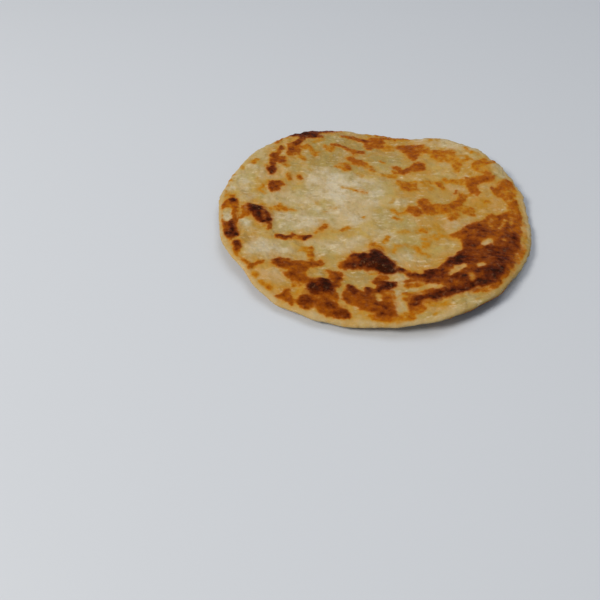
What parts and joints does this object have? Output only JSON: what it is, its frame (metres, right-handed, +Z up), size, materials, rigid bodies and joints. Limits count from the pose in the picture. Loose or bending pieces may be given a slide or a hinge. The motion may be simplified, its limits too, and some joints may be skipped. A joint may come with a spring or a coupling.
{
  "type": "paratha flatbread",
  "caption": "Round pan-fried layered flatbread lying flat, with a thin uneven rim that curls up in places and raised browned and scorched blisters.",
  "frame": {"origin": "centre of the bounding box in plan, on the surface that the bread lies on", "axes": "+Z up out of the browned face, +X to the right and +Y away as the bread is served"},
  "size_m": [0.1602, 0.1596, 0.0098],
  "materials": {
    "paratha": "pan-fried wheat dough: pale and whitish where it never met the pan, golden to dark brown on the raised patches, with a faint oily sheen"
  },
  "bodies": {
    "root": {"paratha": "paratha"}
  },
  "joints": []
}
